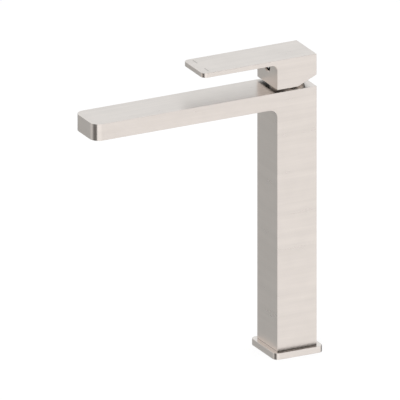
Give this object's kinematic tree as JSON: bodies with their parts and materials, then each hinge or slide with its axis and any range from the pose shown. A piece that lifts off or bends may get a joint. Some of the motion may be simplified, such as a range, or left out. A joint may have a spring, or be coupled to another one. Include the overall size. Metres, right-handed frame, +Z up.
{
  "type": "single-lever basin mixer",
  "caption": "Tall square-column basin mixer with a long flat spout and a flat lever that lifts for flow and swings for temperature.",
  "frame": {"origin": "where the column's axis meets the deck, at the middle of the base plate's underside", "axes": "+Z up along the column, -Y along the spout towards the user, +X to the user's right"},
  "size_m": [0.056, 0.26, 0.3235],
  "materials": {
    "nickel": "brushed nickel plate, horizontal grain",
    "nickel_handle": "brushed nickel plate on the handle",
    "nickel_ring": "satin nickel, turned",
    "brass": "machined brass",
    "steel": "plain stainless steel",
    "rubber": "black EPDM",
    "ceramic": "lapped alumina",
    "white_plastic": "moulded acetal",
    "grey_plastic": "moulded plastic"
  },
  "bodies": {
    "housing": {"base_plate": "nickel", "deck_seal": "rubber", "column_tube": "nickel", "spout_head": "nickel", "fixing_insert": "brass", "valve_body": "brass", "drilling_plugs": "brass", "dress_ring": "nickel_ring", "cartridge_nut": "brass", "cartridge_case": "white_plastic", "cartridge_base": "grey_plastic", "fixed_disc": "ceramic", "outlet_tube": "brass", "outlet_chamber": "grey_plastic", "outlet_gasket": "rubber", "outlet_frame": "nickel", "stream_straightener": "grey_plastic"},
    "turret": {"rotor": "grey_plastic", "stem_pin": "steel"},
    "lever": {"handle": "nickel_handle", "lever_stem": "brass", "grub_screw": "steel", "screw_plug": "steel"},
    "disc_slider": {"disc_carrier": "grey_plastic", "moving_disc": "ceramic"}
  },
  "joints": [
    {"name": "swivel", "type": "hinge", "parent": "housing", "child": "turret", "pos_m": [0, 0, 0.2925], "axis": [0, 0, 1], "range_deg": [-45, 45]},
    {"name": "lift", "type": "hinge", "parent": "turret", "child": "lever", "pos_m": [0, 0, 0.2925], "axis": [-1, 0, 0], "range_deg": [0, 24]},
    {"name": "disc_slide", "type": "slide", "parent": "turret", "child": "disc_slider", "axis": [0, -1, 0], "range_m": [0, 0.0037]}
  ],
  "couplings": [
    {"joint": "disc_slide", "follows": "lift", "m_per_rad": 0.008739}
  ]
}
